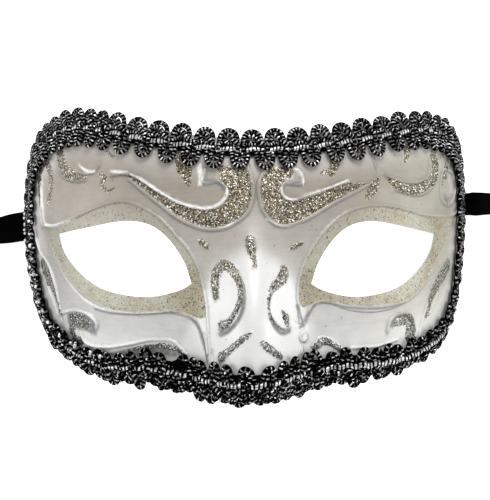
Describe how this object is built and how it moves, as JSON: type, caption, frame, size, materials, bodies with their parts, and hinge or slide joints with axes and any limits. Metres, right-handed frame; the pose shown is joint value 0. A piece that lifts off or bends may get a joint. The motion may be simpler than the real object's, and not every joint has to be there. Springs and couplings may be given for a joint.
{
  "type": "venetian mask",
  "caption": "Lightweight costume half mask with eye holes, a moulded nose, raised scroll relief, a glued braid edge and a satin ribbon tie on each side.",
  "frame": {"origin": "middle of the footprint, on the surface that the side rims rest on, ribbons left out", "axes": "+Z out of the mask's face, +Y towards the forehead edge, +X towards the right of the mask seen from its front"},
  "size_m": [0.3236, 0.1057, 0.0645],
  "materials": {
    "shell": "pearly silver-white paint on a moulded shell, with silver and champagne glitter fields",
    "braid": "gimp braid of cords wrapped in black thread and silver foil",
    "ribbon": "black polyester satin"
  },
  "bodies": {
    "root": {"mask_shell": "shell", "braid_trim": "braid", "ribbon_left": "ribbon", "ribbon_left_coil": "ribbon", "ribbon_right": "ribbon", "ribbon_right_coil": "ribbon"}
  },
  "joints": []
}
